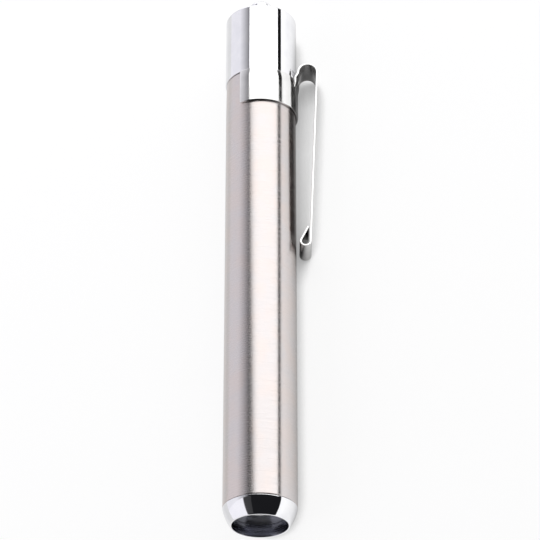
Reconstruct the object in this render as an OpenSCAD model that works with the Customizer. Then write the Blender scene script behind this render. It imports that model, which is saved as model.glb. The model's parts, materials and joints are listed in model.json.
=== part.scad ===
// Push-button penlight, lying on its side with the clip's lower edge on the table.
// Each piece is turned along a local Z axis that starts at the front rim and runs to the tail.
// The clip points along local X. lay() then puts the pen down along Y, with its lens towards -Y.

/* [Cells] */
// Diameter of one cell
cell_d = 10.5; // [9:0.1:12]
// Length of one cell over its nub
cell_l = 44.5; // [38:0.5:52]
// Diameter of the cell's positive nub
nub_d = 3.8; // [2.5:0.1:4.5]
// Height of the cell's positive nub
nub_h = 1; // [0.6:0.1:1.6]
// Chamfer on the rims of the cell's can
cell_chamfer = 0.4; // [0.1:0.05:0.8]
// Gap all round between a cell and the liner
cell_play = 0.2; // [0.1:0.05:0.5]

/* [Barrel] */
// Wall of the steel tube
barrel_wall = 0.5; // [0.4:0.05:1]
// Wall of the plastic liner
liner_wall = 0.95; // [0.6:0.05:1.6]
// Gap all round between the liner and the tube
liner_fit = 0.1; // [0.05:0.05:0.3]
// Gap between the liner's ends and the two plugs
liner_end_gap = 0.25; // [0.1:0.05:0.6]
// Chamfer on the tube's ends
barrel_chamfer = 0.12; // [0.05:0.01:0.25]
// Radius that the tube loses at its tail end, so that the clip band slides on
tail_taper = 0.05; // [0.02:0.01:0.12]

/* [Nose] */
// Length of the nose that shows
nose_l = 3.4; // [3:0.1:6]
// Width of the flat front rim
rim_w = 0.25; // [0.15:0.05:0.6]
// Diameter of the lens opening at the front
opening_d = 10.6; // [9:0.1:11]
// Depth of the lens below the front rim
recess_depth = 2.3; // [1:0.1:2.6]
// Radius that the recess loses on its way to the lens
recess_taper = 0.3; // [0.1:0.05:0.5]
// Bulge of the nose's outer flank beyond a straight cone
nose_bulge = 0.18; // [0.05:0.01:0.3]
// Wall of the nose's plug inside the barrel
nose_plug_wall = 0.62; // [0.5:0.02:0.9]
// Chamfer on the nose's back edge
nose_chamfer = 0.05; // [0.05:0.01:0.2]

/* [Light] */
// Thickness of the lens at its edge
lens_t = 1.5; // [1:0.1:2.5]
// Height of the lens's crown
lens_crown = 0.1; // [0.05:0.05:0.6]
// Thickness of the rubber ring behind the lens
lens_seal_d = 0.6; // [0.4:0.05:1]
// Length of the reflector cup
reflector_l = 5; // [4:0.1:8]
// Wall of the reflector cup
reflector_wall = 0.5; // [0.3:0.05:0.8]
// Thickness of the reflector's front flange
reflector_flange_t = 0.6; // [0.4:0.05:1]
// Diameter of the reflector's hole for the light source
led_hole_d = 4.8; // [4.6:0.1:5.6]
// Side of the square carrier of the light source
led_base_w = 3; // [2:0.1:3.2]
// Thickness of that carrier
led_base_t = 0.6; // [0.4:0.05:1]
// Diameter of the clear dome of the light source
led_dome_d = 2.4; // [1.5:0.1:2.8]
// Thickness of the circuit board
board_t = 1; // [0.6:0.1:1.6]
// Length of the chip resistor
resistor_l = 1.6; // [1:0.1:2]
// Width of the chip resistor
resistor_w = 0.9; // [0.6:0.05:1.2]
// Height of the chip resistor
resistor_h = 0.5; // [0.3:0.05:0.6]
// Diameter of the positive contact's head
contact_head_d = 3.2; // [2.4:0.1:3.6]
// Thickness of the positive contact's head
contact_head_t = 0.4; // [0.2:0.05:0.6]
// Diameter of the positive contact's tip
contact_tip_d = 2; // [1.2:0.1:2.2]
// Height of the positive contact over the board
contact_h = 1.6; // [1.4:0.1:2.4]
// Width of the retaining ring
ring_w = 1.1; // [0.8:0.05:1.4]
// Length of the retaining ring
ring_l = 1; // [0.8:0.05:1.3]
// Diameter of the insulating washer's hole
washer_hole_d = 5.2; // [5:0.1:6.5]

/* [Clip] */
// Thickness of the clip's spring steel
clip_t = 0.45; // [0.4:0.05:0.8]
// Width of the clip's arm
clip_w = 6; // [5:0.1:7]
// Length of the arm, from the top of its bend to the foot of its curl
clip_l = 42.7; // [30:0.1:55]
// Height of the band round the barrel
band_h = 7.5; // [5:0.1:10]
// Angle left open in the band, opposite the arm
band_open = 111; // [60:1:140]
// Gap all round between the band and the barrel
band_fit = 0.06; // [0.04:0.01:0.12]
// Height that the arm's root rises above the band
riser_h = 1.95; // [1.5:0.05:3]
// Height over which the arm's root goes from curved to flat, below its top
flatten_h = 1.4; // [1:0.1:2.4]
// Gap between the arm's root and the tail cap
riser_gap = 0.16; // [0.1:0.01:0.4]
// Width of the relief slits beside the arm's root
slit_w = 0.4; // [0.25:0.05:0.6]
// Depth of the relief slits
slit_depth = 1.7; // [1:0.1:3]
// Radius of the arm's bend, at the middle of the sheet
bend_r = 1.9; // [1.5:0.1:3]
// Radius of the curl at the arm's tip, at the middle of the sheet
curl_r = 0.95; // [0.8:0.05:1.4]
// Angle, from the outward direction, at which the curl ends
curl_end = 206; // [200:1:230]
// Gap that the curl's straight lip leaves to the arm
lip_gap = 0.1; // [0.05:0.01:0.3]
// Gap between the curl and the barrel
tip_gap = 0.62; // [0.6:0.02:1]
// Gap between the riser and the arm, where the clip flexes
flex_gap = 0.06; // [0.05:0.01:0.1]
// Distance that the riser's sheet lies inside the band's sheet at its foot
foot_inset = 0.03; // [0.02:0.01:0.06]
// Depth of the riser's foot in the band
foot_depth = 0.3; // [0.2:0.05:0.6]

/* [Tail cap] */
// Length of the cap that shows
cap_l = 15.5; // [12:0.1:20]
// Radius that the cap's wall stands out beyond the barrel
cap_proud = 0.16; // [0.06:0.02:0.4]
// Length of the cap's plug inside the barrel
cap_plug_l = 6; // [5:0.1:9]
// Gap all round between a cell and the cap's bore
cap_play = 0.35; // [0.2:0.05:0.6]
// Thickness of the cap's end wall
cap_end_t = 1.5; // [1:0.1:2.5]
// Rounding of the cap's tail edge
cap_round = 0.4; // [0.2:0.05:0.8]
// Rounding of the cap's front edge
cap_lip = 0.15; // [0.05:0.01:0.3]
// Seam between the cap and the barrel
seam_gap = 0.1; // [0.05:0.01:0.2]
// Thickness of the cap's rubber ring
cap_seal_d = 0.55; // [0.4:0.05:0.6]
// Distance from the cap's shoulder to the middle of its rubber ring
cap_seal_back = 1.2; // [0.8:0.1:2]

/* [Switch] */
// Diameter of the button
button_d = 4.8; // [4:0.1:6]
// Height of the button over the cap's end
button_out = 5.15; // [3.5:0.05:6]
// Height of the button's dome
button_dome = 1.6; // [1:0.05:2.4]
// Diameter of the button's flange inside the cap
flange_d = 6.6; // [6:0.1:8]
// Thickness of the button's flange
flange_t = 0.8; // [0.5:0.05:1.2]
// How far the button travels
press_travel = 2; // [1:0.1:2.2]
// Length of the return spring at rest
button_spring_l = 3.2; // [2.8:0.1:4.5]
// Wire of the return spring
button_wire = 0.28; // [0.2:0.01:0.3]
// Diameter of the return spring at the middle of its wire
button_spring_d = 4.4; // [3.4:0.1:5]
// Diameter of the contact pin
pin_d = 1.8; // [1.2:0.1:2.2]
// Depth of the contact pin in the button
pin_seat = 1.5; // [1:0.1:2.5]
// Wall of the switch cup
cup_wall = 0.8; // [0.5:0.05:1.2]
// Thickness of the switch cup's floor
cup_floor = 1.8; // [1.4:0.1:2.4]
// Thickness of the spring terminal
terminal_t = 0.4; // [0.2:0.05:0.8]
// Width of the spring terminal's rim beyond the tail spring
terminal_rim = 0.35; // [0.2:0.05:0.6]
// Length of the switch retainer
retainer_l = 1.2; // [0.8:0.1:1.8]
// Width of the switch retainer
retainer_w = 0.6; // [0.4:0.05:0.8]
// Length of the tail spring with the cap closed
tail_spring_l = 3; // [2.6:0.1:4.5]
// Wire of the tail spring
tail_wire = 0.5; // [0.35:0.01:0.6]
// Diameter of the tail spring at the terminal
tail_spring_wide_d = 7.4; // [6:0.1:8]
// Diameter of the tail spring at the cell
tail_spring_narrow_d = 4; // [3:0.1:5]

/* [Fits] */
// Radial gap of a thread or a push fit
thread_fit = 0.03; // [0.02:0.01:0.06]
// Radial gap of the sliding button and pin
slide_fit = 0.06; // [0.04:0.01:0.1]
// Gap between a moving face and its stop
stop_gap = 0.1; // [0.05:0.01:0.2]
// Gap between a spring's wire and the face that it presses on
seat_gap = 0.02; // [0.01:0.01:0.04]

/* [Hidden] */

// Overrun of every cut past the face that it leaves
over = 1;
// Facets of a turned piece, steps of an arc, steps along and across the riser
turn_facets = 96;
arc_steps = 20;
rise_steps = 14;
across_steps = 12;
// Sides, rings a turn and turns of a spring's wire
wire_sides = 6;
wire_rings = 12;
button_turns = 3;
tail_turns = 2.5;

// Radii, from the cells outwards
cell_r = cell_d / 2;
liner_r = cell_r + cell_play;
barrel_bore = liner_r + liner_wall + liner_fit;
barrel_r = barrel_bore + barrel_wall;
nose_plug_r = barrel_bore - thread_fit;
nose_bore = nose_plug_r - nose_plug_wall;
opening_r = opening_d / 2;
rim_r = opening_r + rim_w;
seat_r = opening_r - recess_taper;
stack_r = nose_bore - thread_fit;
cap_bore = cell_r + cap_play;
cap_plug_r = barrel_bore - slide_fit;
cap_r = barrel_r + cap_proud;
cup_r = cap_bore - thread_fit;
band_r = barrel_r + band_fit;
riser_r = cap_r + riser_gap;

// Places along the pen, from the front rim to the tail
lens_z = recess_depth;
lens_seal_z = lens_z + lens_t;
reflector_z = lens_seal_z + lens_seal_d;
board_z = reflector_z + reflector_l;
ring_z = board_z + board_t;
nose_plug_z = ring_z + ring_l;
cells_z = ring_z + contact_h;
rear_cell_z = cells_z + cell_l;
cells_end = rear_cell_z + cell_l;
terminal_z = cells_end + tail_spring_l;
cup_z = terminal_z + terminal_t;
cup_floor_z = cup_z + cup_floor;
flange_z = cup_floor_z + button_spring_l;
end_wall_z = flange_z + flange_t + stop_gap;
tail_z = end_wall_z + cap_end_t;
cap_z = tail_z - cap_l;
cap_plug_z = cap_z - cap_plug_l;
cap_seal_z = cap_z - cap_seal_back;
barrel_end = cap_z - seam_gap;
pin_z = cup_z + press_travel + stop_gap;

// The clip's band, bend and curl, as places across and along the pen
band_top = barrel_end;
band_z = band_top - band_h;
flex_z = band_top + riser_h + flex_gap;
bend_centre = [riser_r + clip_t / 2 + bend_r, flex_z];
clip_top = flex_z + bend_r + clip_t / 2;
curl_centre = [barrel_r + tip_gap + clip_t / 2 + curl_r, clip_top - clip_l + clip_t / 2 + curl_r];
clip_span = bend_centre - curl_centre;
arm_lean = atan2(clip_span[0], clip_span[1]) + asin((bend_r - curl_r) / norm(clip_span));
curl_turn = curl_end - arm_lean;
lip_l = ((curl_r - clip_t / 2) * (1 - cos(curl_turn)) - lip_gap) / -sin(curl_turn);
clip_reach = bend_centre[0] + bend_r + clip_t / 2;

// The pen lies on the clip's band and on the clip's lower edge, which sets its roll
band_out = band_r + clip_t;
roll = asin(band_out / norm([clip_reach, clip_w / 2])) - atan2(clip_w / 2, clip_reach);
reach_x = clip_reach * cos(roll) + clip_w / 2 * sin(roll);
pen_l = tail_z + button_out;
pen_x = (cap_r - reach_x) / 2;
pen_y = -pen_l / 2;
pen_z = band_out;

// Colours of the finishes
steel = "#c9c1bd";
chrome = "#e4e4ec";
brass = "#c9a35a";
clear = "#dfe8ee";
rubber = "#26262a";
white_plastic = "#e8e6e0";
board_green = "#2f6b4a";
cell_jacket = "#5c6470";
clear_share = 0.5;

echo(barrel_diameter = 2 * barrel_r, overall_length = pen_l, roll = roll, pen_x = pen_x, flex_z = flex_z);

// Puts a piece down: local Z along Y, and the clip rolled down to the table
module lay() {
    translate([pen_x, pen_y, pen_z])
        rotate([0, roll, 0])
            rotate([-90, 0, 0])
                children();
}

// A turned piece: its points are radius and place along the pen
module turned(points) {
    lay()
        rotate_extrude($fn = turn_facets)
            polygon(points);
}

// A plain ring between two radii and two places
module ring(inner, outer, from, to) {
    turned([[inner, from], [outer, from], [outer, to], [inner, to]]);
}

// A rubber ring round the axis
module round_ring(middle_r, z, thickness) {
    lay()
        translate([0, 0, z])
            rotate_extrude($fn = turn_facets)
                translate([middle_r, 0])
                    circle(d = thickness, $fn = wire_rings * 2);
}

// Points of an arc, angles in degrees
function arc(centre, rx, ry, from, to) = [
    for (i = [0 : arc_steps])
        let (a = from + (to - from) * i / arc_steps)
            centre + [rx * cos(a), ry * sin(a)]
];

// Points of a flank from p to q that bulges to the right of that direction
function bowed(p, q, bulge) =
    let (
        along = (q - p) / norm(q - p),
        out = [along[1], -along[0]],
        r = (pow(norm(q - p) / 2, 2) + pow(bulge, 2)) / (2 * bulge),
        half = asin(norm(q - p) / 2 / r)
    )
    [
        for (i = [0 : arc_steps])
            let (a = half * (2 * i / arc_steps - 1))
                (p + q) / 2 + along * r * sin(a) + out * (r * cos(a) - r + bulge)
    ];

// A spring's wire, wound from one radius and place to another
module coil(from_r, to_r, from_z, to_z, wire, turns) {
    rings = ceil(turns * wire_rings);
    function rim(i, j) =
        let (
            u = i / rings,
            a = 360 * turns * u,
            b = 360 * (j + 1 / 2) / wire_sides,
            r = from_r + (to_r - from_r) * u + wire / 2 * cos(b),
            z = from_z + (to_z - from_z) * u + wire / 2 * sin(b)
        )
        [r * cos(a), r * sin(a), z];
    function at(i, j) = i * wire_sides + j % wire_sides;
    walls = [
        for (i = [0 : rings - 1], j = [0 : wire_sides - 1])
            each [[at(i, j), at(i + 1, j + 1), at(i + 1, j)], [at(i, j), at(i, j + 1), at(i + 1, j + 1)]]
    ];
    ends = [
        for (j = [1 : wire_sides - 2])
            each [[at(0, 0), at(0, j + 1), at(0, j)], [at(rings, 0), at(rings, j), at(rings, j + 1)]]
    ];
    points = [
        for (i = [0 : rings], j = [0 : wire_sides - 1])
            rim(i, j)
    ];
    lay()
        polyhedron(points, concat(walls, ends));
}

// One cell: can with chamfered rims, and the nub at its front
module cell(z) {
    can = z + nub_h;
    end = z + cell_l;
    color(cell_jacket)
        turned([
            [0, z], [nub_d / 2, z], [nub_d / 2, can], [cell_r - cell_chamfer, can],
            [cell_r, can + cell_chamfer], [cell_r, end - cell_chamfer],
            [cell_r - cell_chamfer, end], [0, end]
        ]);
}

// Brushed steel tube, tapered a little under the clip band
module barrel() {
    front = nose_l + seam_gap;
    color(steel)
        turned([
            [barrel_bore, front], [barrel_r - barrel_chamfer, front], [barrel_r, front + barrel_chamfer],
            [barrel_r, band_z], [barrel_r - tail_taper, barrel_end - barrel_chamfer],
            [barrel_r - tail_taper - barrel_chamfer, barrel_end], [barrel_bore, barrel_end]
        ]);
}

// Chrome nose ring: bowed flank, flat rim, tapered recess, lens seat and plug
module nose_bezel() {
    flank = bowed([rim_r, 0], [barrel_r, nose_l - nose_chamfer], nose_bulge);
    color(chrome)
        turned(concat(
            [[seat_r, lens_z], [opening_r, 0]],
            flank,
            [
                [barrel_r - nose_chamfer, nose_l], [nose_plug_r, nose_l], [nose_plug_r, nose_plug_z],
                [nose_bore, nose_plug_z], [nose_bore, lens_z]
            ]
        ));
}

// Clear lens with a low crown that stands up in the recess
module lens() {
    crown_r = seat_r - slide_fit;
    color(clear, clear_share)
        turned(concat(
            arc([0, lens_z], crown_r, lens_crown, -90, 0),
            [[stack_r, lens_z], [stack_r, lens_seal_z], [0, lens_seal_z]]
        ));
}

// Rubber ring between the lens and the reflector
module lens_seal() {
    color(rubber)
        round_ring(stack_r - lens_seal_d / 2, lens_seal_z + lens_seal_d / 2, lens_seal_d);
}

// Reflector cup: parabola inside, even wall outside, flange at the front
module reflector() {
    mouth_r = stack_r - reflector_wall;
    hole_r = led_hole_d / 2;
    bowl = [
        for (i = [0 : arc_steps])
            let (u = i / arc_steps)
                [sqrt(pow(mouth_r, 2) * (1 - u) + pow(hole_r, 2) * u), reflector_z + reflector_l * u]
    ];
    back = [
        for (i = [arc_steps : -1 : 0])
            if (bowl[i][1] > reflector_z + reflector_flange_t)
                bowl[i] + [reflector_wall, 0]
    ];
    color(chrome)
        turned(concat(
            bowl,
            back,
            [
                [back[len(back) - 1][0], reflector_z + reflector_flange_t],
                [stack_r, reflector_z + reflector_flange_t], [stack_r, reflector_z]
            ]
        ));
}

// Clear dome of the light source
module led_dome() {
    dome_r = led_dome_d / 2;
    color(clear, clear_share)
        turned(concat([[0, board_z - led_base_t]], arc([0, board_z - led_base_t], dome_r, dome_r, 0, -90)));
}

// Square carrier of the light source, on the board
module led_base() {
    color(white_plastic)
        lay()
            translate([0, 0, board_z - led_base_t / 2])
                cube([led_base_w, led_base_w, led_base_t], center = true);
}

// Round circuit board
module led_board() {
    color(board_green)
        turned([[0, board_z], [stack_r, board_z], [stack_r, ring_z], [0, ring_z]]);
}

// Chip resistor on the back of the board, halfway between the contact and the ring
module current_resistor() {
    middle = (contact_head_d / 2 + stack_r - ring_w) / 2;
    color(rubber)
        lay()
            translate([middle, 0, ring_z + resistor_h / 2])
                cube([resistor_w, resistor_l, resistor_h], center = true);
}

// Brass rivet that the front cell's nub meets
module positive_contact() {
    head_r = contact_head_d / 2;
    tip_r = contact_tip_d / 2;
    color(brass)
        turned([
            [0, ring_z], [head_r, ring_z], [head_r, ring_z + contact_head_t],
            [tip_r, ring_z + contact_head_t], [tip_r, cells_z], [0, cells_z]
        ]);
}

// Threaded ring that holds the lens, seal, reflector and board in the nose
module retaining_ring() {
    color(brass)
        ring(stack_r - ring_w, stack_r, ring_z, nose_plug_z);
}

// Washer between that ring and the front cell's can
module insulating_washer() {
    color(white_plastic)
        ring(washer_hole_d / 2, cell_r, nose_plug_z, cells_z + nub_h - seat_gap);
}

// Plastic tube round the cells, between the two plugs
module liner_sleeve() {
    color(white_plastic)
        ring(liner_r, liner_r + liner_wall, nose_plug_z + liner_end_gap, cap_plug_z - liner_end_gap);
}

// The cell whose nub meets the positive contact
module front_cell() {
    cell(cells_z);
}

// The cell that the tail spring presses on
module rear_cell() {
    cell(rear_cell_z);
}

// Riser: curved like the band at its foot, out past the cap by the band's top, flat where the arm starts
module riser() {
    foot = band_top - slit_depth;
    height = slit_depth + riser_h;
    loop = 2 * (across_steps + 1);
    function level(i) = i == 0 ? foot - foot_depth : foot + height * (i - 1) / rise_steps;
    function ease(z, from, to) = let (u = min(max((z - from) / (to - from), 0), 1)) u * u * (3 - 2 * u);
    function sheet(r, y, u) = r * u + sqrt(pow(r, 2) - pow(y, 2)) * (1 - u);
    function place(i, k) =
        let (
            inner = k <= across_steps,
            j = inner ? k : loop - 1 - k,
            y = clip_w * (j / across_steps - 1 / 2),
            z = level(i),
            out = ease(z, foot, band_top),
            flat = ease(z, foot + height - flatten_h, foot + height),
            r = band_r + (riser_r - band_r) * out,
            inset = foot_inset * (1 - out)
        )
        [sheet(inner ? r + inset : r + clip_t - inset, y, flat), y, z];
    function at(i, k) = i * loop + k % loop;
    points = [
        for (i = [0 : rise_steps + 1], k = [0 : loop - 1])
            place(i, k)
    ];
    walls = [
        for (i = [0 : rise_steps], k = [0 : loop - 1])
            each [[at(i, k), at(i, k + 1), at(i + 1, k + 1)], [at(i, k), at(i + 1, k + 1), at(i + 1, k)]]
    ];
    ends = [
        for (k = [0 : across_steps - 1])
            let (a = k, b = k + 1, c = loop - 2 - k, d = loop - 1 - k, top = loop * (rise_steps + 1))
                each [[a, c, b], [a, d, c], [top + a, top + b, top + c], [top + a, top + c, top + d]]
    ];
    polyhedron(points, concat(walls, ends));
}

// Open band round the barrel, notched for the riser with a slit left on each side of it
module clip_band() {
    half = 180 - band_open / 2;
    notch_w = clip_w + 2 * slit_w;
    color(chrome)
        lay()
            union() {
                difference() {
                    rotate([0, 0, -half])
                        rotate_extrude(angle = 2 * half, $fn = turn_facets)
                            translate([band_r, band_z])
                                square([clip_t, band_h]);
                    translate([0, -notch_w / 2, band_top - slit_depth])
                        cube([clip_reach, notch_w, slit_depth + over]);
                }
                riser();
            }
}

// Arm: bend, straight that leans in, curl and lip, as one outline of the sheet from the side
module clip_arm() {
    end_out = [cos(curl_end), -sin(curl_end)];
    lip = lip_l * [-sin(curl_end), -cos(curl_end)];
    function face(offset) = concat(
        arc(bend_centre, bend_r + offset, bend_r + offset, 180, -arm_lean),
        arc(curl_centre, curl_r + offset, curl_r + offset, -arm_lean, -curl_end),
        [curl_centre + (curl_r + offset) * end_out + lip]
    );
    inside = face(-clip_t / 2);
    back = [
        for (i = [len(inside) - 1 : -1 : 0])
            inside[i]
    ];
    color(chrome)
        lay()
            rotate([90, 0, 0])
                linear_extrude(height = clip_w, center = true)
                    polygon(concat(face(clip_t / 2), back));
}

// Rubber ring in the groove of the cap's plug
module cap_seal() {
    color(rubber)
        round_ring(cap_plug_r - cap_seal_d / 2, cap_seal_z, cap_seal_d);
}

// Conical spring that pushes the cells forward
module tail_spring() {
    color(steel)
        coil(
            tail_spring_wide_d / 2, tail_spring_narrow_d / 2, terminal_z - tail_wire / 2 - seat_gap,
            cells_end + tail_wire / 2 + seat_gap, tail_wire, tail_turns
        );
}

// Chrome cap: threaded plug with a seal groove, straight wall, and an end wall with the button's hole
module tail_cap() {
    hole_r = button_d / 2 + slide_fit;
    groove_r = cap_plug_r - cap_seal_d - seat_gap;
    groove_half = cap_seal_d / 2 + seat_gap;
    color(chrome)
        turned(concat(
            [
                [cap_bore, cap_plug_z], [cap_plug_r, cap_plug_z], [cap_plug_r, cap_seal_z - groove_half],
                [groove_r, cap_seal_z - groove_half], [groove_r, cap_seal_z + groove_half],
                [cap_plug_r, cap_seal_z + groove_half], [cap_plug_r, cap_z]
            ],
            arc([cap_r - cap_lip, cap_z + cap_lip], cap_lip, cap_lip, -90, 0),
            arc([cap_r - cap_round, tail_z - cap_round], cap_round, cap_round, 0, 90),
            [[hole_r, tail_z], [hole_r, end_wall_z], [cap_bore, end_wall_z]]
        ));
}

// Plastic cup behind the end wall: the return spring stands on its floor and the pin goes through it
module switch_cup() {
    pin_hole = pin_d / 2 + slide_fit;
    color(white_plastic)
        turned([
            [pin_hole, cup_z], [cup_r, cup_z], [cup_r, end_wall_z], [cup_r - cup_wall, end_wall_z],
            [cup_r - cup_wall, cup_floor_z], [pin_hole, cup_floor_z]
        ]);
}

// Brass plate that the tail spring presses on
module spring_terminal() {
    plate_r = tail_spring_wide_d / 2 + tail_wire / 2 + terminal_rim;
    color(brass)
        turned([[0, terminal_z], [plate_r, terminal_z], [plate_r, cup_z], [0, cup_z]]);
}

// Threaded ring that holds the cup in the cap
module switch_retainer() {
    color(brass)
        ring(cup_r - retainer_w, cup_r, cup_z - retainer_l, cup_z);
}

// Domed button with a flange inside the cap and a bore for the pin
module push_button() {
    button_r = button_d / 2;
    bore = pin_d / 2 + seat_gap;
    dome_z = tail_z + button_out - button_dome;
    color(chrome)
        turned(concat(
            [
                [bore, flange_z], [flange_d / 2, flange_z], [flange_d / 2, flange_z + flange_t],
                [button_r, flange_z + flange_t]
            ],
            arc([0, dome_z], button_r, button_dome, 0, 90),
            [[0, flange_z + pin_seat], [bore, flange_z + pin_seat]]
        ));
}

// Brass pin that reaches the terminal when the button is pressed
module contact_pin() {
    pin_r = pin_d / 2;
    color(brass)
        turned([[0, pin_z], [pin_r, pin_z], [pin_r, flange_z + pin_seat], [0, flange_z + pin_seat]]);
}

// Return spring between the cup's floor and the button's flange
module button_spring() {
    color(steel)
        coil(
            button_spring_d / 2, button_spring_d / 2, cup_floor_z + button_wire / 2 + seat_gap,
            flange_z - button_wire / 2 - seat_gap, button_wire, button_turns
        );
}

barrel();
nose_bezel();
lens();
lens_seal();
reflector();
led_dome();
led_base();
led_board();
current_resistor();
positive_contact();
retaining_ring();
insulating_washer();
liner_sleeve();
front_cell();
rear_cell();
clip_band();
clip_arm();
cap_seal();
tail_spring();
tail_cap();
switch_cup();
spring_terminal();
switch_retainer();
push_button();
contact_pin();
button_spring();
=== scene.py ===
import json
import math

import bpy
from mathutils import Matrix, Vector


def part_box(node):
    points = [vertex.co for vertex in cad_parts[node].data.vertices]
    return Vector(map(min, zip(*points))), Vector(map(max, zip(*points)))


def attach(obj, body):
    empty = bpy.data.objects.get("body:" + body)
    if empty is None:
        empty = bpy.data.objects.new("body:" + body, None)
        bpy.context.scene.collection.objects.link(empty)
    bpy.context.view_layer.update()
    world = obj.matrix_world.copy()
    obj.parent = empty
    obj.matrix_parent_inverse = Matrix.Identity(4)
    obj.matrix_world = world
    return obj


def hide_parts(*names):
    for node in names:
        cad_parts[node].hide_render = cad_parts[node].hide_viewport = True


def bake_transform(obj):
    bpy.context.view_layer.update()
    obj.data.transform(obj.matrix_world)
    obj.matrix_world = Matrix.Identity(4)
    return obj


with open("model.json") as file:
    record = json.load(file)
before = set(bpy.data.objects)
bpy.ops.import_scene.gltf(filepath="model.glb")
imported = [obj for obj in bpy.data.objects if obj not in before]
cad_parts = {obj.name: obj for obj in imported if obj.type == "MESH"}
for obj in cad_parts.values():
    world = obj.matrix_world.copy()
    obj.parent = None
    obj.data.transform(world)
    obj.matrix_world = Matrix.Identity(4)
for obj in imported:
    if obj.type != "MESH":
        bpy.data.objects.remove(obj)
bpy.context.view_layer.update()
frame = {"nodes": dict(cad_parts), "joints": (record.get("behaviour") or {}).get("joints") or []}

# Barrel: a seamless steel tube, brushed round and round on a lathe and chamfered at both ends.
# It tapers a hair at the tail, where the clip's band slides on, and it carries everything else.
mm = 0.001
barrel_low, barrel_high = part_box("barrel")
axis_x = (barrel_low.x + barrel_high.x) / 2
axis_z = (barrel_low.z + barrel_high.z) / 2
front_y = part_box("nose_bezel")[0].y
barrel_r = (barrel_high.z - barrel_low.z) / 2
barrel_wall = 0.5 * mm
barrel_bore = barrel_r - barrel_wall
barrel_chamfer = 0.12 * mm
tail_taper = 0.05 * mm
tail_r = barrel_r - tail_taper
barrel_front = barrel_low.y - front_y
barrel_end = barrel_high.y - front_y
band_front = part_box("clip_band")[0].y - front_y
flex_joint = next(joint for joint in frame["joints"] if joint["name"] == "clip_flex")
roll = math.atan2(flex_joint["axis"][0], flex_joint["axis"][2])
turn_sides = 192
merge_distance = 0.001 * mm
pole_r = 0.0001 * mm


def lay(piece):
    """Lays a piece that was modelled along Y from the front rim's centre where the pen lies"""
    piece.rotation_euler = (0, roll, 0)
    piece.location = (axis_x, front_y, axis_z)
    bpy.ops.object.transform_apply(location=True, rotation=True, scale=True)


def apply_bevel(piece, width, segments=3):
    """Rounds a piece's sharp edges and smooths it, with the shading of its large faces kept true"""
    edges = piece.modifiers.new("edges", "BEVEL")
    edges.width = width
    edges.segments = segments
    edges.limit_method = "ANGLE"
    edges.angle_limit = math.radians(35)
    bpy.ops.object.modifier_apply(modifier=edges.name)
    bpy.ops.object.shade_smooth_by_angle(angle=math.radians(40))
    shading = piece.modifiers.new("shading", "WEIGHTED_NORMAL")
    shading.keep_sharp = True
    bpy.ops.object.modifier_apply(modifier=shading.name)


def turned(name, profile, edge):
    """A turned piece: a ring drawn along the pen through its profile's radii and places"""
    bpy.ops.object.select_all(action="DESELECT")
    radius, place = profile[0]
    bpy.ops.mesh.primitive_circle_add(
        vertices=turn_sides, radius=radius, location=(0, place, 0), rotation=(math.pi / 2, 0, 0)
    )
    piece = bpy.context.object
    piece.name = piece.data.name = name
    bpy.ops.object.transform_apply(location=True, rotation=True, scale=True)
    bpy.ops.object.mode_set(mode="EDIT")
    bpy.ops.mesh.select_all(action="SELECT")
    for next_radius, next_place in profile[1:]:
        wider = next_radius / radius
        bpy.ops.mesh.extrude_region_move(TRANSFORM_OT_translate={"value": (0, next_place - place, 0)})
        bpy.ops.transform.resize(value=(wider, 1, wider), center_override=(0, next_place, 0))
        radius, place = next_radius, next_place
    bpy.ops.mesh.select_all(action="SELECT")
    bpy.ops.mesh.remove_doubles(threshold=merge_distance)
    bpy.ops.mesh.normals_make_consistent(inside=False)
    bpy.ops.object.mode_set(mode="OBJECT")
    apply_bevel(piece, edge)
    lay(piece)
    return piece


def add(tree, kind, inputs, **settings):
    """A shader node with its settings made, and its inputs set, or linked where one is a socket"""
    node = tree.nodes.new(kind)
    for key, value in settings.items():
        setattr(node, key, value)
    for key, value in inputs.items():
        if isinstance(value, bpy.types.NodeSocket):
            tree.links.new(value, node.inputs[key])
        else:
            node.inputs[key].default_value = value
    return node


def new_finish(name, **shader):
    """A material's tree, its shader with the named inputs set, and its Object coordinates"""
    material = bpy.data.materials.new(name)
    material.use_nodes = True
    tree = material.node_tree
    surface = tree.nodes["Principled BSDF"]
    for key, value in shader.items():
        surface.inputs[key.replace("_", " ").title().replace("Ior", "IOR")].default_value = value
    place = add(tree, "ShaderNodeTexCoord", {}).outputs["Object"]
    return material, tree, surface, place


def noise(tree, place, size, detail=3.0, stretch=(1, 1, 1)):
    """Noise whose spots are about that size across, times the stretch along each axis"""
    scale = tuple(1 / (size * times) for times in stretch)
    spots = add(tree, "ShaderNodeMapping", {"Vector": place, "Scale": scale})
    settings = {"Vector": spots.outputs["Vector"], "Scale": 1.0, "Detail": detail}
    return add(tree, "ShaderNodeTexNoise", settings).outputs["Fac"]


def colour_between(tree, share, first, second, low=0.35, high=0.65):
    """A colour that goes from the first to the second as the share goes from low to high"""
    ramp = add(tree, "ShaderNodeValToRGB", {"Fac": share}).color_ramp
    ramp.elements[0].position = low
    ramp.elements[1].position = high
    ramp.elements[0].color = (*first, 1)
    ramp.elements[1].color = (*second, 1)
    return tree.nodes[-1].outputs["Color"]


def value_between(tree, share, first, second, low=0.35, high=0.65):
    """A value that goes from the first to the second as the share goes from low to high"""
    limits = {"Value": share, "From Min": low, "From Max": high, "To Min": first, "To Max": second}
    return add(tree, "ShaderNodeMapRange", limits).outputs["Result"]


def set_bump(tree, surface, height, depth, strength=1.0):
    """Raises the surface by the height's share of the depth"""
    bump = add(tree, "ShaderNodeBump", {"Height": height, "Distance": depth, "Strength": strength})
    tree.links.new(bump.outputs["Normal"], surface.inputs["Normal"])


def set_colour(tree, surface, colour):
    tree.links.new(colour, surface.inputs["Base Color"])


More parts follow.
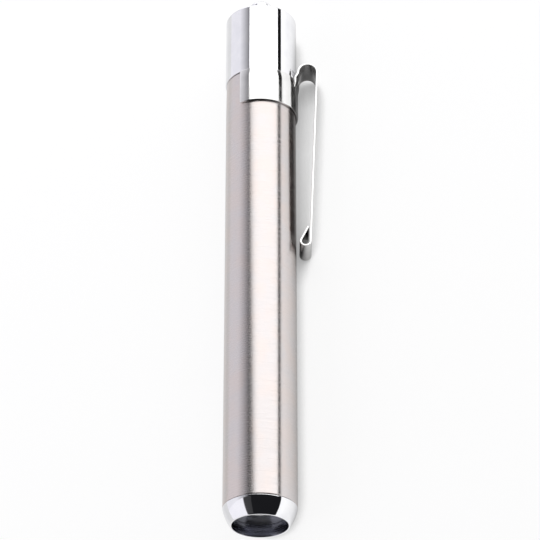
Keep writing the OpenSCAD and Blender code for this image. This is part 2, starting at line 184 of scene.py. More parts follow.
def set_roughness(tree, surface, roughness):
    tree.links.new(roughness, surface.inputs["Roughness"])


def brushed_steel():
    """Steel brushed in rings: fine lines round the tube, and a faint warm and cool mottle"""
    material, tree, surface, place = new_finish(
        "brushed_steel", Metallic=1.0, Anisotropic=0.8, Anisotropic_Rotation=0.25
    )
    lines = noise(tree, place, 0.06 * mm, 3.0, stretch=(120, 1, 120))
    mottle = noise(tree, place, 4 * mm, 2.0)
    set_colour(tree, surface, colour_between(tree, mottle, (0.63, 0.57, 0.55), (0.605, 0.572, 0.57)))
    set_roughness(tree, surface, value_between(tree, lines, 0.2, 0.28))
    set_bump(tree, surface, lines, 0.0005 * mm)
    round_axis = add(tree, "ShaderNodeTangent", {}, direction_type="RADIAL", axis="Y")
    tree.links.new(round_axis.outputs["Tangent"], surface.inputs["Tangent"])
    return material


barrel = turned(
    "barrel_tube",
    [
        (barrel_bore, barrel_front),
        (barrel_r - barrel_chamfer, barrel_front),
        (barrel_r, barrel_front + barrel_chamfer),
        (barrel_r, band_front),
        (tail_r, barrel_end - barrel_chamfer),
        (tail_r - barrel_chamfer, barrel_end),
        (barrel_bore, barrel_end),
        (barrel_bore, barrel_front),
    ],
    edge=0.03 * mm,
)
barrel.data.materials.append(brushed_steel())
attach(barrel, "barrel")
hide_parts("barrel")

# Nose ring: turned brass under bright chrome, screwed into the barrel by its plug.
# Its bowed flank runs in to a narrow rim, and its tapered recess guards the lens.
nose_l = 3.4 * mm
nose_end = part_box("nose_bezel")[1].y - front_y
opening_r = 5.3 * mm
seat_r = 5.0 * mm
recess_depth = 2.3 * mm
rim_r = 5.55 * mm
nose_bulge = 0.18 * mm
nose_chamfer = 0.05 * mm
press_fit = 0.03 * mm
plug_wall = 0.62 * mm
plug_r = barrel_bore - press_fit
plug_bore = plug_r - plug_wall
flank_steps = 24


def bowed(start, end, bulge, steps):
    """Points of a line between two points that bows outwards as a shallow parabola"""
    lean = math.atan2(end[0] - start[0], end[1] - start[1])
    points = []
    for step in range(steps + 1):
        share = step / steps
        out = 4 * bulge * share * (1 - share)
        points.append(
            (
                start[0] + (end[0] - start[0]) * share + out * math.cos(lean),
                start[1] + (end[1] - start[1]) * share - out * math.sin(lean),
            )
        )
    return points


def chrome():
    """Bright chrome with faint finger smears and hair-fine polishing marks"""
    material, tree, surface, place = new_finish("chrome_plate", Metallic=1.0)
    smears = noise(tree, place, 3 * mm, 4.0)
    marks = noise(tree, place, 0.2 * mm, 3.0, stretch=(8, 1, 8))
    set_colour(tree, surface, colour_between(tree, smears, (0.80, 0.80, 0.825), (0.85, 0.85, 0.865)))
    set_roughness(tree, surface, value_between(tree, smears, 0.03, 0.075))
    set_bump(tree, surface, marks, 0.0002 * mm)
    return material


def painted_shade_plate():
    """The recess's satin plating, given a dark bluish colour as painted shade, mottled by fine turning
    rings
    """
    material, tree, surface, place = new_finish("painted_shade_plate", Metallic=1.0)
    rings = noise(tree, place, 0.12 * mm, 3.0, stretch=(40, 1, 40))
    set_colour(tree, surface, colour_between(tree, rings, (0.26, 0.265, 0.31), (0.33, 0.335, 0.38)))
    set_roughness(tree, surface, value_between(tree, rings, 0.16, 0.28))
    set_bump(tree, surface, rings, 0.0008 * mm)
    return material


chrome_plate = chrome()
nose = turned(
    "nose_ring",
    [
        (seat_r, recess_depth),
        (opening_r, 0),
        *bowed((rim_r, 0), (barrel_r, nose_l - nose_chamfer), nose_bulge, flank_steps),
        (barrel_r - nose_chamfer, nose_l),
        (plug_r, nose_l),
        (plug_r, nose_end),
        (plug_bore, nose_end),
        (plug_bore, recess_depth),
        (seat_r, recess_depth),
    ],
    edge=0.03 * mm,
)
nose.data.materials.append(chrome_plate)
nose.data.materials.append(painted_shade_plate())
# The faces inside the opening, in front of the lens seat, take the plate darkened as painted shade.
for face in nose.data.polygons:
    out = math.hypot(face.center.x - axis_x, face.center.z - axis_z)
    if out < opening_r - merge_distance and face.center.y - front_y < recess_depth - merge_distance:
        face.material_index = 1
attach(nose, "barrel")
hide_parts("nose_bezel")

# Lens: a faintly milky moulded disc whose low crown stands up into the recess.
# The nose ring's seat holds its edge from the front, and the rubber ring presses it from behind.
lens_r = plug_bore - press_fit
lens_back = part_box("lens")[1].y - front_y
slide_fit = 0.06 * mm
crown_r = seat_r - slide_fit
crown_h = 0.1 * mm
crown_steps = 16


def clear_plastic(name, first, second):
    """Clear moulded plastic, tinted between two colours, with a breath of dust and fine handling marks"""
    material, tree, surface, place = new_finish(name, Transmission_Weight=0.7, IOR=1.58, Coat_Weight=1.0)
    dust = noise(tree, place, 1.5 * mm, 4.0)
    marks = noise(tree, place, 0.15 * mm, 3.0, stretch=(6, 1, 1))
    set_colour(tree, surface, colour_between(tree, dust, first, second))
    set_roughness(tree, surface, value_between(tree, dust, 0.01, 0.06))
    set_bump(tree, surface, marks, 0.0003 * mm)
    return material


crown = []
for step in range(crown_steps + 1):
    turn = math.pi / 2 * step / crown_steps
    crown.append((max(crown_r * math.sin(turn), pole_r), recess_depth - crown_h * math.cos(turn)))
lens = turned(
    "front_lens",
    [*crown, (lens_r, recess_depth), (lens_r, lens_back), (pole_r, lens_back)],
    edge=0.04 * mm,
)
lens.data.materials.append(clear_plastic("smoky_plastic", (0.74, 0.75, 0.79), (0.80, 0.81, 0.85)))
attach(lens, "barrel")
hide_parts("lens")

# Lens seal: a round-section rubber ring that keeps water out behind the lens.
# The reflector's flange squeezes it against the lens when the retaining ring is tightened.


def wear_finish(name, first, second, roughness, sizes, depth, **shader):
    """A finish that mottles between two colours, with matching roughness and a fine grain"""
    material, tree, surface, place = new_finish(name, **shader)
    mottle = noise(tree, place, sizes[0], 4.0)
    grain = noise(tree, place, sizes[1], 3.0)
    set_colour(tree, surface, colour_between(tree, mottle, first, second))
    set_roughness(tree, surface, value_between(tree, mottle, *roughness))
    set_bump(tree, surface, grain, depth)
    return material


def dress(node, material):
    """Gives a carried-over node its finish"""
    node_object = frame["nodes"][node]
    node_object.data.materials.clear()
    node_object.data.materials.append(material)


rubber = wear_finish(
    "seal_rubber",
    (0.018, 0.018, 0.02),
    (0.035, 0.034, 0.034),
    roughness=(0.5, 0.75),
    sizes=(1.5 * mm, 0.08 * mm),
    depth=0.01 * mm,
)
dress("lens_seal", rubber)

# Reflector: a thin pressed cup, bright plated inside, that throws the light forward.
# Its flange sits on the rubber ring and its foot stands on the circuit board.
cup_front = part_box("reflector")[0].y - front_y
cup_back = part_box("reflector")[1].y - front_y
cup_wall = 0.5 * mm
mouth_r = lens_r - cup_wall
hole_r = 2.4 * mm
flange_t = 0.6 * mm
cup_steps = 28


def bright_plate():
    """Vacuum-plated mirror with the faint orange peel of the plastic under it"""
    material, tree, surface, place = new_finish("bright_plate", Metallic=1.0)
    peel = noise(tree, place, 0.5 * mm, 3.0)
    set_colour(tree, surface, colour_between(tree, peel, (0.86, 0.86, 0.86), (0.91, 0.91, 0.90)))
    set_roughness(tree, surface, value_between(tree, peel, 0.03, 0.09))
    set_bump(tree, surface, peel, 0.004 * mm)
    return material


bowl = []
for step in range(cup_steps + 1):
    share = step / cup_steps
    bowl_r = math.sqrt(mouth_r ** 2 * (1 - share) + hole_r ** 2 * share)
    bowl.append((bowl_r, cup_front + (cup_back - cup_front) * share))
back = [(r + cup_wall, s) for r, s in reversed(bowl) if s > cup_front + flange_t]
reflector = turned(
    "reflector_cup",
    [
        *bowl,
        *back,
        (back[-1][0], cup_front + flange_t),
        (lens_r, cup_front + flange_t),
        (lens_r, cup_front),
        (mouth_r, cup_front),
    ],
    edge=0.04 * mm,
)
reflector.data.materials.append(bright_plate())
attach(reflector, "barrel")
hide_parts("reflector")

# Light source: a square white carrier with a yellow lit patch under a clear moulded dome.
# It is soldered to the front of the board, in the middle of the reflector's hole.
patch_r = 0.85 * mm


def from_axis(tree, place):
    """Distance of a point from the pen's axis"""
    centred = add(tree, "ShaderNodeVectorMath", {0: place, 1: (-axis_x, 0, -axis_z)}, operation="ADD")
    across = add(
        tree, "ShaderNodeVectorMath", {0: centred.outputs["Vector"], 1: (1, 0, 1)}, operation="MULTIPLY"
    )
    return add(
        tree, "ShaderNodeVectorMath", {0: across.outputs["Vector"]}, operation="LENGTH"
    ).outputs["Value"]


def light_carrier():
    """White ceramic with the phosphor patch in its middle"""
    material, tree, surface, place = new_finish("light_carrier")
    specks = noise(tree, place, 0.12 * mm, 3.0)
    edge_share = value_between(tree, from_axis(tree, place), 0, 1, patch_r * 0.94, patch_r * 1.06)
    phosphor, ceramic = (0.88, 0.72, 0.12), (0.82, 0.81, 0.78)
    set_colour(tree, surface, colour_between(tree, edge_share, phosphor, ceramic, 0.2, 0.8))
    set_roughness(tree, surface, value_between(tree, specks, 0.35, 0.6))
    set_bump(tree, surface, specks, 0.01 * mm)
    return material


dress("led_base", light_carrier())
dress("led_dome", clear_plastic("clear_plastic", (0.93, 0.95, 0.97), (0.98, 0.99, 1.0)))

# Circuit board: a round green board with copper lands, one chip resistor and a brass rivet behind.
# The retaining ring presses it against the reflector, and its edge carries the negative side.
land_r = 4.3 * mm


def board_green():
    """Solder mask over woven glass, with a bare copper ring near the edge"""
    material, tree, surface, place = new_finish("board_green")
    weave = noise(tree, place, 0.25 * mm, 2.0, stretch=(3, 1, 1))
    land = value_between(tree, from_axis(tree, place), 0, 1, land_r, land_r * 1.02)
    mask, copper = (0.02, 0.14, 0.07), (0.55, 0.33, 0.16)
    set_colour(tree, surface, colour_between(tree, land, mask, copper, 0.4, 0.6))
    tree.links.new(land, surface.inputs["Metallic"])
    set_roughness(tree, surface, value_between(tree, weave, 0.28, 0.42))
    set_bump(tree, surface, weave, 0.01 * mm)
    return material


def chip():
    """Black moulded chip body with a fine grain"""
    material, tree, surface, place = new_finish("chip_black")
    grain = noise(tree, place, 0.1 * mm, 3.0)
    set_colour(tree, surface, colour_between(tree, grain, (0.012, 0.012, 0.013), (0.04, 0.04, 0.042)))
    set_roughness(tree, surface, value_between(tree, grain, 0.3, 0.55))
    set_bump(tree, surface, grain, 0.008 * mm)
    return material


brass = wear_finish(
    "turned_brass",
    (0.66, 0.46, 0.17),
    (0.74, 0.54, 0.24),
    roughness=(0.18, 0.34),
    sizes=(2 * mm, 0.1 * mm),
    depth=0.002 * mm,
    Metallic=1.0,
)
dress("led_board", board_green())
dress("current_resistor", chip())
dress("positive_contact", brass)

# Retaining ring, washer and liner: a threaded brass ring locks the light in the nose.
# A plastic washer keeps the front cell's can off it, and a plastic tube lines the barrel.
white_plastic = wear_finish(
    "white_plastic",
    (0.74, 0.73, 0.69),
    (0.80, 0.79, 0.75),
    roughness=(0.38, 0.55),
    sizes=(3 * mm, 0.15 * mm),
    depth=0.006 * mm,
)
dress("retaining_ring", brass)
dress("insulating_washer", white_plastic)
dress("liner_sleeve", white_plastic)

# Cells: two slim dry cells, nose to tail, each a drawn can in a plain shrunk jacket.
# They drop in from the tail, and the tail spring presses them on to the positive contact.
bare_edge = 0.35 * mm
jacket_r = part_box("front_cell")[1].x - axis_x - bare_edge


def cell_jacket():
    """A satin slate jacket over a nickel can that shows bare at both ends"""
    material, tree, surface, place = new_finish("cell_jacket")
    shrink = noise(tree, place, 2.5 * mm, 3.0, stretch=(1, 4, 1))
    jacket = value_between(tree, from_axis(tree, place), 0, 1, jacket_r, jacket_r * 1.01)
    bare = add(tree, "ShaderNodeMath", {0: 1.0, 1: jacket}, operation="SUBTRACT").outputs["Value"]
    nickel, slate = (0.62, 0.61, 0.58), (0.07, 0.085, 0.11)
    set_colour(tree, surface, colour_between(tree, jacket, nickel, slate, 0.4, 0.6))
    tree.links.new(bare, surface.inputs["Metallic"])
    set_roughness(tree, surface, value_between(tree, shrink, 0.28, 0.42))
    set_bump(tree, surface, shrink, 0.02 * mm)
    return material


jacket_finish = cell_jacket()
dress("front_cell", jacket_finish)
dress("rear_cell", jacket_finish)

# Pocket clip: one strip of spring steel, stamped, curled round the barrel as an open band,
# bent over at the tail into a long arm and curled at the tip. It only grips; nothing fixes it.
sheet = 0.45 * mm
band_mid = barrel_r + slide_fit + sheet / 2
band_half = math.radians(124.5)
tongue_half_w = 3.0 * mm
slit_w = 0.4 * mm
slit_depth = 1.7 * mm
slit_foot = barrel_end - slit_depth
flatten_h = 1.4 * mm
bend_r = 1.9 * mm
curl_r = 0.95 * mm
tip_gap = 0.62 * mm
curl_end = math.radians(206)
lip_gap = 0.1 * mm
rise_rows = 18
corner_r = 0.35 * mm
clip_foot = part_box("clip_arm")[0].y - front_y
cap_low, cap_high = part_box("tail_cap")
cap_r = (cap_high.z - cap_low.z) / 2
riser_gap = 0.16 * mm
riser_mid = cap_r + riser_gap + sheet / 2
bend_s = flex_joint["pos_m"][1] - front_y
bend_centre = (riser_mid + bend_r, bend_s)
curl_centre = (barrel_r + tip_gap + sheet / 2 + curl_r, clip_foot + sheet / 2 + curl_r)


def select_where(piece, test):
    """Selects the vertices whose place passes the test, in edit mode with vertex select"""
    bpy.ops.mesh.select_all(action="DESELECT")
    bpy.ops.object.mode_set(mode="OBJECT")
    for vertex in piece.data.vertices:
        vertex.select = test(vertex.co)
    bpy.ops.object.mode_set(mode="EDIT")


def spring_steel():
    """Polished spring steel with drawn lines along the strip and a faint mottle of smears"""
    material, tree, surface, place = new_finish("spring_steel", Metallic=1.0)
    lines = noise(tree, place, 0.15 * mm, 3.0, stretch=(1, 40, 1))
    smears = noise(tree, place, 2.5 * mm, 4.0)
    set_colour(tree, surface, colour_between(tree, smears, (0.74, 0.735, 0.73), (0.81, 0.805, 0.80)))
    set_roughness(tree, surface, value_between(tree, smears, 0.07, 0.15))
    set_bump(tree, surface, lines, 0.0006 * mm)
    return material


# The band is swept round the barrel, column by column, from a line along its end.
bpy.ops.object.select_all(action="DESELECT")
bpy.ops.mesh.primitive_plane_add(size=sheet, location=(0, 0, 0))
clip = bpy.context.object
clip.name = clip.data.name = "pocket_clip"
bpy.ops.object.mode_set(mode="EDIT")
bpy.ops.mesh.select_mode(type="VERT")
bpy.ops.mesh.select_all(action="SELECT")
bpy.ops.mesh.merge(type="CENTER")
bpy.ops.transform.translate(
    value=(band_mid * math.cos(band_half), band_front, -band_mid * math.sin(band_half))
)
bpy.ops.mesh.extrude_vertices_move(TRANSFORM_OT_translate={"value": (0, slit_foot - band_front, 0)})
bpy.ops.mesh.extrude_vertices_move(TRANSFORM_OT_translate={"value": (0, barrel_end - slit_foot, 0)})
bpy.ops.mesh.select_all(action="SELECT")
tongue_turn = math.asin(tongue_half_w / band_mid)
slit_turn = math.asin((tongue_half_w + slit_w) / band_mid)
for sweep, columns in (
    (band_half - slit_turn, 48),
    (slit_turn - tongue_turn, 2),
    (2 * tongue_turn, 24),
    (slit_turn - tongue_turn, 2),
    (band_half - slit_turn, 48),
):
    bpy.ops.mesh.spin(steps=columns, angle=sweep, center=(0, 0, 0), axis=(0, 1, 0))

# The notch over the tongue and its slits is cut away, and the band's four corners are rounded.
hair = 0.01 * mm
notch_half_w = tongue_half_w + slit_w
select_where(
    clip, lambda co: co.y > slit_foot + hair and co.x > 0 and abs(co.z) < notch_half_w - hair
)
bpy.ops.mesh.delete(type="VERT")
select_where(
    clip,
    lambda co: abs(math.atan2(co.z, co.x)) > band_half - 0.01
    and (co.y < band_front + hair or co.y > barrel_end - hair),
)
bpy.ops.mesh.bevel(offset=corner_r, segments=4, affect="VERTICES")

# The tongue is drawn up from the notch's foot, out past the cap, and flattened below the bend.
select_where(
    clip, lambda co: abs(co.y - slit_foot) < hair and co.x > 0 and abs(co.z) < tongue_half_w + hair
)


def eased(place, start, end):
    """Share of the way from start to end, slow at both ends"""
    share = min(max((place - start) / (end - start), 0), 1)
    return share * share * (3 - 2 * share)


row_h = (bend_s - slit_foot) / rise_rows
curved = 1.0
crest = band_mid
for row in range(rise_rows):
    row_s = slit_foot + row_h * (row + 1)
    next_crest = band_mid + (riser_mid - band_mid) * eased(row_s, slit_foot, barrel_end)
    still_curved = max(1 - eased(row_s, bend_s - flatten_h, bend_s), 0.001)
    bpy.ops.mesh.extrude_region_move(TRANSFORM_OT_translate={"value": (next_crest - crest, row_h, 0)})
    bpy.ops.transform.resize(value=(still_curved / curved, 1, 1), center_override=(next_crest, bend_s, 0))
    curved, crest = still_curved, next_crest

# The bend, the arm, the curl and the lip follow in one strip.
span = (bend_centre[0] - curl_centre[0], bend_centre[1] - curl_centre[1])
span_l = math.hypot(*span)
arm_lean = math.atan2(*span) + math.asin((bend_r - curl_r) / span_l)
arm_l = math.sqrt(span_l ** 2 - (bend_r - curl_r) ** 2)
curl_turn = curl_end - arm_lean
lip_l = ((curl_r - sheet / 2) * (1 - math.cos(curl_turn)) - lip_gap) / -math.sin(curl_turn)
bpy.ops.mesh.spin(steps=40, angle=math.pi + arm_lean, center=(*bend_centre, 0), axis=(0, 0, 1))
bpy.ops.mesh.extrude_region_move(
    TRANSFORM_OT_translate={"value": (-arm_l * math.sin(arm_lean), -arm_l * math.cos(arm_lean), 0)}
)
bpy.ops.mesh.spin(steps=40, angle=curl_turn, center=(*curl_centre, 0), axis=(0, 0, 1))
bpy.ops.mesh.extrude_region_move(
    TRANSFORM_OT_translate={"value": (-lip_l * math.sin(curl_end), -lip_l * math.cos(curl_end), 0)}
)
bpy.ops.mesh.select_all(action="SELECT")
bpy.ops.mesh.remove_doubles(threshold=merge_distance)
bpy.ops.mesh.normals_make_consistent(inside=False)
bpy.ops.object.mode_set(mode="OBJECT")
wall = clip.modifiers.new("wall", "SOLIDIFY")
wall.thickness = sheet
wall.offset = 0
wall.use_even_offset = True
bpy.ops.object.modifier_apply(modifier=wall.name)
apply_bevel(clip, 0.12 * mm)
lay(clip)
clip.data.materials.append(spring_steel())


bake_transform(clip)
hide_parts("clip_band", "clip_arm")

# Tail cap: turned brass under bright chrome, like the nose ring, with a thread on its plug.
# It screws into the barrel's tail, and the button comes out through the hole in its end.
cap_front = cap_low.y - front_y
cap_tail = cap_high.y - front_y
stop_gap = 0.1 * mm
cap_shoulder = barrel_end + stop_gap
cap_plug_r = barrel_bore - slide_fit
cap_bore = 5.6 * mm
groove_r = 5.87 * mm
groove_front = 94.805 * mm
groove_back = 95.395 * mm
thread_depth = 0.32 * mm
thread_root = cap_plug_r - thread_depth
thread_crest = cap_plug_r - 0.02 * mm
thread_front = cap_front + 0.6 * mm
thread_back = groove_front - 0.5 * mm
thread_run_out = 0.3 * mm
thread_pitch = 1.0 * mm
thread_turns = int((thread_back - thread_front - thread_run_out) / thread_pitch)
ridge_w = 0.75 * mm
lip_r = 0.15 * mm
tail_round = 0.4 * mm
end_wall = 1.5 * mm
hole_edge = 2.46 * mm
round_steps = 8


def arc(centre, radius, start, end, steps):
    """Points of an arc in a profile, angles in degrees from outwards towards the tail"""
    points = []
    for step in range(steps + 1):
        turn = math.radians(start + (end - start) * step / steps)
        points.append((centre[0] + radius * math.cos(turn), centre[1] + radius * math.sin(turn)))
    return points


cap = turned(
    "tail_cap_shell",
    [
        (cap_bore, cap_front),
        (thread_root, cap_front),
        (thread_root, thread_back),
        (cap_plug_r, thread_back + cap_plug_r - thread_root),
        (cap_plug_r, groove_front),
        (groove_r, groove_front),
        (groove_r, groove_back),
        (cap_plug_r, groove_back),
        (cap_plug_r, cap_shoulder),
        *arc((cap_r - lip_r, cap_shoulder + lip_r), lip_r, -90, 0, round_steps),
        *arc((cap_r - tail_round, cap_tail - tail_round), tail_round, 0, 90, round_steps),
        (hole_edge, cap_tail),
        (hole_edge, cap_tail - end_wall),
        (cap_bore, cap_tail - end_wall),
        (cap_bore, cap_front),
    ],
    edge=0.04 * mm,
)


def wind(piece, pitch, turns, steps):
    """Winds a closed outline round the pen's axis into a coil and closes its two ends"""
    winding = piece.modifiers.new("winding", "SCREW")
    winding.axis = "Y"
    winding.screw_offset = pitch
    winding.iterations = turns
    winding.steps = winding.render_steps = steps
    bpy.ops.object.modifier_apply(modifier=winding.name)
    bpy.ops.object.mode_set(mode="EDIT")
    bpy.ops.mesh.select_mode(type="EDGE")
    bpy.ops.mesh.select_all(action="DESELECT")
    bpy.ops.mesh.select_non_manifold()
    bpy.ops.mesh.fill_holes(sides=0)
    bpy.ops.mesh.select_all(action="SELECT")
    bpy.ops.mesh.normals_make_consistent(inside=False)
    bpy.ops.mesh.select_mode(type="VERT")
    bpy.ops.object.mode_set(mode="OBJECT")


# The plug's thread is one ridge, wound round it from a triangle and joined on.
bpy.ops.object.select_all(action="DESELECT")
bpy.ops.mesh.primitive_circle_add(vertices=3, radius=1, location=(0, 0, 0), rotation=(0, 0, -math.pi / 2))
thread = bpy.context.object
thread.name = thread.data.name = "cap_thread"
bpy.ops.object.transform_apply(location=True, rotation=True, scale=True)
thread.scale = ((thread_crest - thread_root) / 1.5, ridge_w / math.sqrt(3), 1)
thread.location = (thread_crest - thread.scale[0] - hair, thread_front, 0)
bpy.ops.object.transform_apply(location=True, rotation=True, scale=True)
wind(thread, thread_pitch, thread_turns, turn_sides)
apply_bevel(thread, 0.05 * mm)
lay(thread)
bpy.ops.object.select_all(action="DESELECT")
thread.select_set(True)
cap.select_set(True)
bpy.context.view_layer.objects.active = cap
bpy.ops.object.join()
cap.data.materials.append(chrome_plate)
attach(cap, "cap")
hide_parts("tail_cap")

# Cap seal: a rubber ring in the plug's groove, wiped by the barrel's bore as the cap turns.
# It feeds along with the cap.
dress("cap_seal", rubber)

# Switch: a white moulded cup behind the cap's end wall, locked by a threaded brass ring.
# A brass plate under the cup takes the current from the tail spring to the button's pin.
wire = wear_finish(
    "spring_wire",
    (0.50, 0.49, 0.47),
    (0.62, 0.61, 0.59),
    roughness=(0.2, 0.34),
    sizes=(0.8 * mm, 0.05 * mm),
    depth=0.002 * mm,
    Metallic=1.0,
)
dress("switch_cup", white_plastic)
dress("spring_terminal", brass)
dress("switch_retainer", brass)
dress("tail_spring", wire)

# Push button: turned brass under bright chrome, with a flange that the end wall stops.
# A brass pin is pressed into its underside and closes the circuit when it is pushed.
button_low, button_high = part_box("push_button")
button_front = button_low.y - front_y
button_tail = button_high.y - front_y
button_r = 2.4 * mm
button_dome = 1.6 * mm
button_flange_r = 3.3 * mm
button_flange_t = 0.8 * mm
pin_bore = 0.92 * mm
pin_seat = 1.5 * mm
dome_steps = 20
dome = []
for step in range(dome_steps + 1):
    turn = math.pi / 2 * step / dome_steps
    dome_out = max(button_r * math.cos(turn), pole_r)
    dome.append((dome_out, button_tail - button_dome * (1 - math.sin(turn))))
button = turned(
    "push_button_cap",
    [
        (pole_r, button_front + pin_seat),
        (pin_bore, button_front + pin_seat),
        (pin_bore, button_front),
        (button_flange_r, button_front),
        (button_flange_r, button_front + button_flange_t),
        (button_r, button_front + button_flange_t),
        *dome,
    ],
    edge=0.05 * mm,
)
button.data.materials.append(chrome_plate)
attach(button, "button")
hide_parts("push_button")
dress("contact_pin", brass)

# Return spring: three turns of round spring wire between the switch cup's floor and the flange.
# Nothing fixes its ends; it shortens as the button goes in, and it pushes the button back.
spring_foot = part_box("button_spring")[0].y - front_y
spring_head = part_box("button_spring")[1].y - front_y
wire_r = 0.14 * mm
coil_r = 2.2 * mm
coil_turns = 3
coil_sides = 64
coil_pitch = (spring_head - spring_foot - 2 * wire_r) / coil_turns
bpy.ops.object.select_all(action="DESELECT")
bpy.ops.mesh.primitive_circle_add(vertices=16, radius=wire_r, location=(coil_r, spring_foot + wire_r, 0))
spring = bpy.context.object
spring.name = spring.data.name = "return_spring"
bpy.ops.object.transform_apply(location=True, rotation=True, scale=True)
wind(spring, coil_pitch, coil_turns, coil_sides)
apply_bevel(spring, 0.04 * mm)
lay(spring)
spring.data.materials.append(wire)
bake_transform(spring)
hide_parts("button_spring")

# Floor: a plain pale table, lifted to white for the eye, and for bright metal and clear plastic.
# It keeps the shadow of the pen. Its lift fades as painted shade in the narrow gap beside the clip and, in
# reflections, close to the pen's sides, but not before its nose; in reflections it is also painted brighter
# towards +X, the clip's side.
floor_w = 12.0
floor_colour = (0.2, 0.2, 0.2)
floor_lift = 0.85
gap_reach = 6 * mm
side_reach = 25 * mm
# Painted shade: the share of the lift left on the floor where it is shut in, as in the gap beside the clip.
painted_gap_shade = 0.34
shut_gap, open_gap = 0.2, 0.5
shut_side, open_side = 0.1, 0.9
lit_before, lit_until = front_y - 1 * mm, front_y + 5 * mm
table_half_w = 40 * mm
# Painted light: reflections of the floor brighten from the -X side to the +X side.
painted_dim_side, painted_bright_side = 0.68, 1.08
bpy.ops.object.select_all(action="DESELECT")
bpy.ops.mesh.primitive_plane_add(size=floor_w, location=(0, 0, 0))
floor = bpy.context.object
floor.name = "pale_floor"
floor_finish, floor_tree, floor_surface, floor_place = new_finish("pale_floor", Roughness=0.9)
floor_surface.inputs["Specular IOR Level"].default_value = 0.0
floor_surface.inputs["Base Color"].default_value = (*floor_colour, 1)
floor_surface.inputs["Emission Color"].default_value = (1, 1, 1, 1)


def combine(tree, operation, first, second):
    """Two values put together by an operation"""
    return add(tree, "ShaderNodeMath", {0: first, 1: second}, operation=operation).outputs["Value"]


def open_sky(tree, reach):
    """Share of the sky that a spot of the floor sees past what stands within reach"""
    return add(tree, "ShaderNodeAmbientOcclusion", {"Distance": reach}, samples=16).outputs["AO"]


rays = add(floor_tree, "ShaderNodeLightPath", {}).outputs
sky = open_sky(floor_tree, gap_reach)
wide_sky = open_sky(floor_tree, side_reach)
floor_spot = add(floor_tree, "ShaderNodeSeparateXYZ", {"Vector": floor_place}).outputs
# Painted shade: the lift for the eye drops where the floor's near sky is shut, close under the pen and most
# in the gap beside the clip.
eye_lift = value_between(floor_tree, sky, painted_gap_shade * floor_lift, floor_lift, shut_gap, open_gap)
eye_lift = combine(floor_tree, "MULTIPLY", eye_lift, rays["Is Camera Ray"])
mirrored = combine(floor_tree, "MAXIMUM", rays["Is Glossy Ray"], rays["Is Transmission Ray"])
# Painted light and shade: the lift in reflections grows towards +X, and fades close to the pen's sides but
# not before its nose.
mirror_lift = value_between(floor_tree, floor_spot["X"], painted_dim_side, painted_bright_side, -table_half_w, table_half_w)
before_nose = value_between(floor_tree, floor_spot["Y"], 1, 0, lit_before, lit_until)
wide_sky = combine(floor_tree, "MAXIMUM", wide_sky, before_nose)
painted_side_shade = value_between(floor_tree, wide_sky, 0, 1, shut_side, open_side)
mirror_lift = combine(floor_tree, "MULTIPLY", mirror_lift, painted_side_shade)
mirror_lift = combine(floor_tree, "MULTIPLY", mirror_lift, mirrored)
lift = combine(floor_tree, "ADD", eye_lift, mirror_lift)
floor_tree.links.new(lift, floor_surface.inputs["Emission Strength"])
floor.data.materials.append(floor_finish)

# Studio: flat soft panels hung round the pen, each lit evenly or fading across its width,
# and one black card. Angles run from the viewer's side of the pen, positive towards the clip.
panel_distance = 0.5
card_distance = 0.075
card_level = 0.01


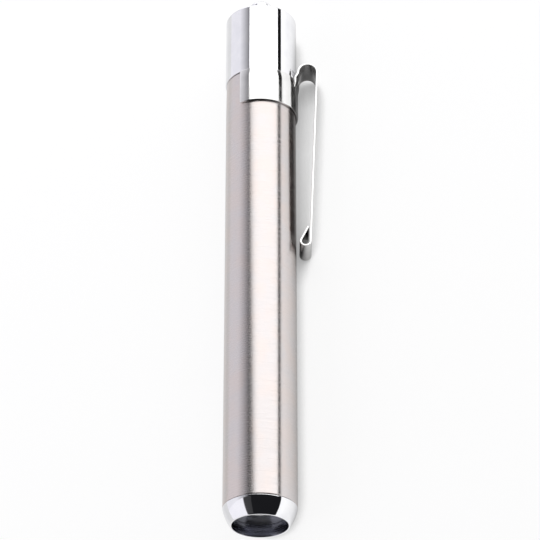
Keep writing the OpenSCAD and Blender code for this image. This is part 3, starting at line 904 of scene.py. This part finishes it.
def panel(name, front, tail, along, tint, levels, distance=panel_distance):
    """A panel between two angles at its front end, two at its tail end and two places along the pen"""
    middle = math.radians(sum(tail)) / 2
    across = [distance * math.tan(math.radians(angle) - middle) for angle in (*front, *tail)]
    width = across[3] - across[2]
    bpy.ops.object.select_all(action="DESELECT")
    centre = ((across[2] + across[3]) / 2, sum(along) / 2, distance)
    bpy.ops.mesh.primitive_plane_add(size=1, location=centre)
    light = bpy.context.object
    light.name = name
    light.scale = (width, along[1] - along[0], 1)
    bpy.ops.object.transform_apply(location=True, rotation=True, scale=True)
    bpy.ops.object.mode_set(mode="EDIT")
    for side in (0, 1):
        edge = across[2 + side]
        select_where(light, lambda co: abs(co.x - edge) < hair and co.y < along[0] + hair)
        bpy.ops.transform.translate(value=(across[side] - edge, 0, 0))
    bpy.ops.object.mode_set(mode="OBJECT")
    light.rotation_euler = (0, middle, 0)
    bpy.ops.object.transform_apply(location=True, rotation=True, scale=True)
    light.rotation_euler = (0, roll, 0)
    light.location = (axis_x, front_y, axis_z)
    bpy.ops.object.transform_apply(location=True, rotation=True, scale=True)
    material = bpy.data.materials.new(name)
    material.use_nodes = True
    tree = material.node_tree
    tree.nodes.clear()
    share = add(tree, "ShaderNodeTexCoord", {}).outputs["UV"]
    share = add(tree, "ShaderNodeSeparateXYZ", {"Vector": share}).outputs["X"]
    ramp = add(tree, "ShaderNodeValToRGB", {"Fac": share})
    for element, (place, level) in zip(ramp.color_ramp.elements, (levels[0], levels[-1])):
        element.position = place
        element.color = (level, level, level, 1)
    for place, level in levels[1:-1]:
        ramp.color_ramp.elements.new(place).color = (level, level, level, 1)
    glow = add(tree, "ShaderNodeEmission", {"Color": (*tint, 1), "Strength": ramp.outputs["Color"]})
    add(tree, "ShaderNodeOutputMaterial", {"Surface": glow.outputs["Emission"]})
    light.data.materials.append(material)
    light.visible_camera = False
    light.visible_shadow = False
    light.visible_diffuse = max(level for place, level in levels) > card_level


white = (1, 1, 1)
lilac = (0.955, 0.945, 1.0)
even = [(0, 1.75), (1, 1.75)]
panel("main_panel", (-5.2, 56.5), (-58.5, 56.5), (0.07, 1.05), white, even)
panel("tail_panel", (-58.5, 56.5), (-58.5, 56.5), (1.05, 8), white, even)
fading = [(0, 1.0), (0.52, 1.0), (1, 0.1)]
panel("side_panel", (-115, -34), (-115, -34), (-0.02, 0.9), lilac, fading)
panel("tail_side_panel", (-115, -58.5), (-115, -58.5), (0.9, 8), lilac, even)
stepped = [(0, 1.1), (0.67, 1.1), (0.70, 0.06), (1, 0.05)]
panel("nose_panel", (-115, -27), (-115, -27), (-0.6, -0.02), lilac, stepped)
black = [(0, card_level), (1, card_level)]
panel("dark_card", (56.5, 63), (56.5, 67.5), (0.03, 0.2), white, black, distance=card_distance)
dim_air = (0.012, 0.012, 0.014, 1)
world = bpy.data.worlds.new("dim_studio")
world.use_nodes = True
world.node_tree.nodes["Background"].inputs["Color"].default_value = dim_air
bpy.context.scene.world = world

# Camera: a long lens, square to the pen's width and leaning back towards the lens end.
# It stands far off, so the barrel narrows only a little towards the tail.
camera_place = (1.835 * mm, -180.47 * mm, 421.18 * mm)
camera_lean = math.radians(29.097)
camera_data = bpy.data.cameras.new("camera")
camera_data.lens = 165.1
camera_data.sensor_width = 36
camera_data.clip_start = 0.01
camera = bpy.data.objects.new("camera", camera_data)
camera.location = (
    axis_x + camera_place[0] * math.cos(roll) + camera_place[2] * math.sin(roll),
    front_y + camera_place[1],
    axis_z - camera_place[0] * math.sin(roll) + camera_place[2] * math.cos(roll),
)
camera.rotation_euler = (camera_lean, roll, 0)
bpy.context.scene.collection.objects.link(camera)
bpy.context.scene.camera = camera
bpy.context.scene.view_settings.view_transform = "Standard"
